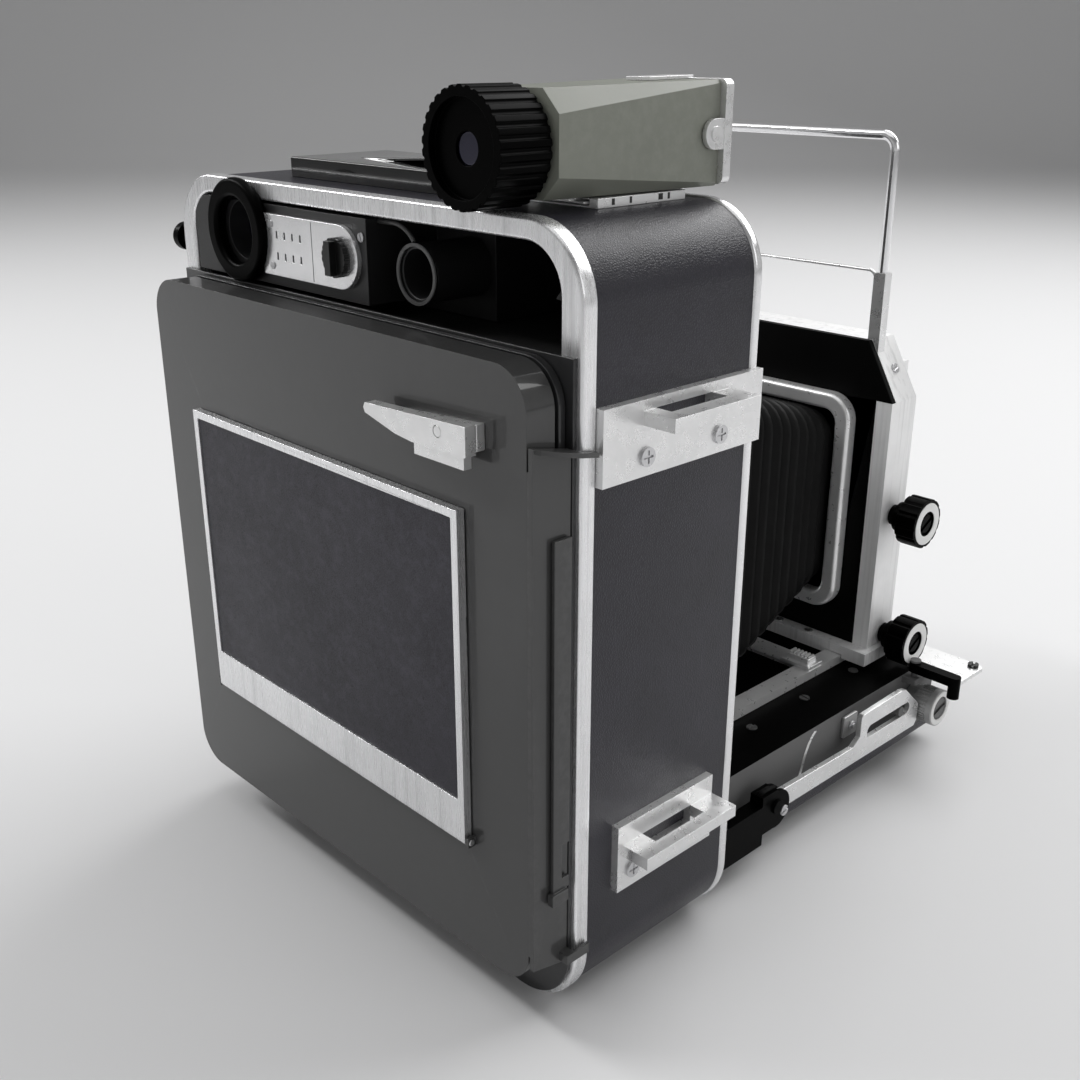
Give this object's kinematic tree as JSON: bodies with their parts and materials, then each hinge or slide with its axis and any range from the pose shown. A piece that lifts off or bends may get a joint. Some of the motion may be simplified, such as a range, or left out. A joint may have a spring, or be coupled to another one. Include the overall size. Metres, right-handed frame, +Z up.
{
  "type": "press camera",
  "caption": "Folding-bed press camera with leather-covered body, side-braced bed, pleated bellows, front standard with leaf shutter, rangefinder, top finder and hinged focusing back",
  "frame": {"origin": "mouth of the tripod socket, in the middle of the body's base, on the resting plane", "axes": "+Z up; -Y towards the subject, along the lens axis; -X is the side with the strap brackets and the lock knobs"},
  "size_m": [0.2085, 0.2607, 0.249],
  "materials": {
    "body_shell": "black-painted light-alloy casting",
    "body_leather": "fine-grained blue-black leather",
    "rear_rim": "satin-chromed light alloy",
    "front_rim": "satin chrome",
    "strap_brackets": "satin chrome",
    "bracket_screws": "bright cross-recessed screws",
    "strap_lug": "gloss black",
    "rangefinder_housing": "matt black",
    "eyepiece_cup": "black moulded",
    "rangefinder_glass": "coated lens and windows",
    "scale_plate": null,
    "selector_knob": "black with milled edge",
    "lamp_tube": "matt black",
    "lamp_ring": "dark grey bezel and lead",
    "top_cover": "gloss black",
    "finder_shoe": "satin chrome",
    "finder_foot": "satin chrome",
    "finder_housing": "grey-green hammered enamel",
    "finder_front_plate": "satin chrome",
    "finder_front_glass": "coated front window",
    "finder_eye_ring": "black, coarsely knurled",
    "finder_eye_lens": "coated eye lens",
    "back_frame": "black enamel",
    "back_panel": "dark grey enamel",
    "side_cover": "dark grey enamel",
    "lock_slide": "grey enamel",
    "ground_glass": "ground on one face",
    "lid_hinge_pin": "ground pin",
    "lid_frame": "brushed chrome",
    "lid_leather": "fine-grained blue-black leather",
    "latch_base": "satin chrome",
    "latch_lever": "satin chrome",
    "hinge_arms": "black",
    "bed_hinge_pin": "ground pin",
    "bed_casting": "black deck, grey side walls",
    "bed_leather": "fine-grained blue-black leather",
    "bed_struts": "satin chrome",
    "bed_end_plate": "satin chrome",
    "track_lock_lever": "gloss black",
    "focus_track": "satin chrome rails with cut racks",
    "standard_stops": "satin chrome",
    "focus_shaft": "ground shaft with cut pinions",
    "focus_knobs": "satin grey with a white face ring",
    "bellows": "matt black pleated cloth",
    "standard_frame": "chromed casting",
    "standard_plate": "matt black",
    "bellows_frame": "chromed frame",
    "upper_lock_knob": "black with a white face ring",
    "lower_lock_knob": "black with a white face ring",
    "hoop_posts": "bright chrome",
    "wire_hoop": "bright chrome wire",
    "lens_board": "black enamel",
    "shutter_case": "black enamel",
    "lens_barrel": "black anodised",
    "lens_glass": "coated elements and black iris",
    "aperture_ring": "satin chrome",
    "speed_ring": "satin chrome, milled",
    "cocking_lever": "bright chrome",
    "release_lever": "bright chrome"
  },
  "bodies": {
    "body": {"body_shell": "body_shell", "body_leather": "body_leather", "rear_rim": "rear_rim", "front_rim": "front_rim", "strap_brackets": "strap_brackets", "bracket_screws": "bracket_screws", "strap_lug": "strap_lug", "rangefinder_housing": "rangefinder_housing", "eyepiece_cup": "eyepiece_cup", "rangefinder_glass": "rangefinder_glass", "scale_plate": "scale_plate", "lamp_tube": "lamp_tube", "lamp_ring": "lamp_ring", "top_cover": "top_cover", "finder_shoe": "finder_shoe", "back_frame": "back_frame", "hinge_arms": "hinge_arms", "bed_hinge_pin": "bed_hinge_pin", "bellows": "bellows"},
    "selector": {"selector_knob": "selector_knob"},
    "finder": {"finder_foot": "finder_foot", "finder_housing": "finder_housing", "finder_front_plate": "finder_front_plate", "finder_front_glass": "finder_front_glass"},
    "finder_eye": {"finder_eye_ring": "finder_eye_ring", "finder_eye_lens": "finder_eye_lens"},
    "focusing_panel": {"back_panel": "back_panel", "side_cover": "side_cover", "ground_glass": "ground_glass", "lid_hinge_pin": "lid_hinge_pin", "latch_base": "latch_base"},
    "film_lock": {"lock_slide": "lock_slide"},
    "lid": {"lid_frame": "lid_frame", "lid_leather": "lid_leather"},
    "latch": {"latch_lever": "latch_lever"},
    "bed": {"bed_casting": "bed_casting", "bed_leather": "bed_leather", "bed_end_plate": "bed_end_plate"},
    "track_lock": {"track_lock_lever": "track_lock_lever"},
    "struts": {"bed_struts": "bed_struts"},
    "track": {"focus_track": "focus_track", "standard_stops": "standard_stops"},
    "focus_drive": {"focus_shaft": "focus_shaft", "focus_knobs": "focus_knobs"},
    "standard": {"standard_frame": "standard_frame", "standard_plate": "standard_plate", "bellows_frame": "bellows_frame", "hoop_posts": "hoop_posts"},
    "upper_knob": {"upper_lock_knob": "upper_lock_knob"},
    "lower_knob": {"lower_lock_knob": "lower_lock_knob"},
    "hoop": {"wire_hoop": "wire_hoop"},
    "lens": {"lens_board": "lens_board", "shutter_case": "shutter_case", "lens_barrel": "lens_barrel", "lens_glass": "lens_glass"},
    "aperture": {"aperture_ring": "aperture_ring"},
    "speed": {"speed_ring": "speed_ring"},
    "cocking": {"cocking_lever": "cocking_lever"},
    "release": {"release_lever": "release_lever"}
  },
  "joints": [
    {"name": "selector_turn", "type": "hinge", "parent": "body", "child": "selector", "pos_m": [0.002, 0.036, 0.2024], "axis": [0, 1, 0], "range_deg": [-90, 90]},
    {"name": "finder_slide", "type": "slide", "parent": "body", "child": "finder", "axis": [0, 1, 0], "range_m": [0, 0.03]},
    {"name": "finder_ring_turn", "type": "hinge", "parent": "finder", "child": "finder_eye", "pos_m": [-0.058, 0.034, 0.234], "axis": [0, 1, 0], "range_deg": [-120, 120]},
    {"name": "panel_slide", "type": "slide", "parent": "body", "child": "focusing_panel", "axis": [0, 1, 0], "range_m": [0, 0.006], "stiffness_N_per_m": 1500, "springref_m": -0.004},
    {"name": "film_lock_slide", "type": "slide", "parent": "focusing_panel", "child": "film_lock", "axis": [0, 0, 1], "range_m": [0, 0.006]},
    {"name": "lid_hinge", "type": "hinge", "parent": "focusing_panel", "child": "lid", "pos_m": [0, 0.0506, 0.0546], "axis": [-1, 0, 0], "range_deg": [0, 100], "stiffness_Nm_per_rad": 0.02, "springref_deg": -57.3},
    {"name": "latch_turn", "type": "hinge", "parent": "focusing_panel", "child": "latch", "pos_m": [-0.062, 0.0538, 0.1708], "axis": [0, 1, 0], "range_deg": [0, 25]},
    {"name": "bed_hinge", "type": "hinge", "parent": "body", "child": "bed", "pos_m": [0, -0.038, 0.014], "axis": [1, 0, 0], "range_deg": [0, 15], "deforming": ["bellows"]},
    {"name": "strut_pivot", "type": "hinge", "parent": "body", "child": "struts", "pos_m": [0, -0.0672, 0.0208], "axis": [1, 0, 0], "range_deg": [0, 22]},
    {"name": "track_lock_turn", "type": "hinge", "parent": "bed", "child": "track_lock", "pos_m": [-0.0762, -0.1607, 0.036], "axis": [0, 0, -1], "range_deg": [0, 30]},
    {"name": "focus_travel", "type": "slide", "parent": "bed", "child": "track", "axis": [0, -1, 0], "range_m": [-0.008, 0.02], "deforming": ["bellows"]},
    {"name": "focus_knob_turn", "type": "hinge", "parent": "bed", "child": "focus_drive", "pos_m": [0, -0.165, 0.0218], "axis": [1, 0, 0], "range_deg": [-78, 192]},
    {"name": "standard_slide", "type": "slide", "parent": "track", "child": "standard", "axis": [0, 1, 0], "range_m": [-0.005, 0.0115], "deforming": ["bellows"]},
    {"name": "upper_knob_turn", "type": "hinge", "parent": "standard", "child": "upper_knob", "pos_m": [-0.066, -0.1618, 0.094], "axis": [-1, 0, 0], "range_deg": [0, 270]},
    {"name": "lower_knob_turn", "type": "hinge", "parent": "standard", "child": "lower_knob", "pos_m": [-0.066, -0.1635, 0.0452], "axis": [-1, 0, 0], "range_deg": [0, 270]},
    {"name": "hoop_slide", "type": "slide", "parent": "standard", "child": "hoop", "axis": [0, 0, 1], "range_m": [-0.02, 0]},
    {"name": "lens_rise", "type": "slide", "parent": "standard", "child": "lens", "axis": [0, 0, 1], "range_m": [0, 0.012]},
    {"name": "aperture_turn", "type": "hinge", "parent": "lens", "child": "aperture", "pos_m": [0, -0.192, 0.096], "axis": [0, 1, 0], "range_deg": [0, 60]},
    {"name": "speed_turn", "type": "hinge", "parent": "lens", "child": "speed", "pos_m": [0, -0.1847, 0.096], "axis": [0, 1, 0], "range_deg": [0, 270]},
    {"name": "cocking_turn", "type": "hinge", "parent": "lens", "child": "cocking", "pos_m": [-0.026, -0.177, 0.123], "axis": [0, 1, 0], "range_deg": [0, 45], "stiffness_Nm_per_rad": 0.001, "springref_deg": -57.3},
    {"name": "release_turn", "type": "hinge", "parent": "lens", "child": "release", "pos_m": [0.026, -0.177, 0.123], "axis": [0, 1, 0], "range_deg": [0, 15], "stiffness_Nm_per_rad": 0.001, "springref_deg": -57.3}
  ],
  "couplings": [
    {"joint": "strut_pivot", "follows": "bed_hinge", "ratio": 1.352},
    {"joint": "focus_knob_turn", "follows": "focus_travel", "rad_per_m": 166.67}
  ]
}
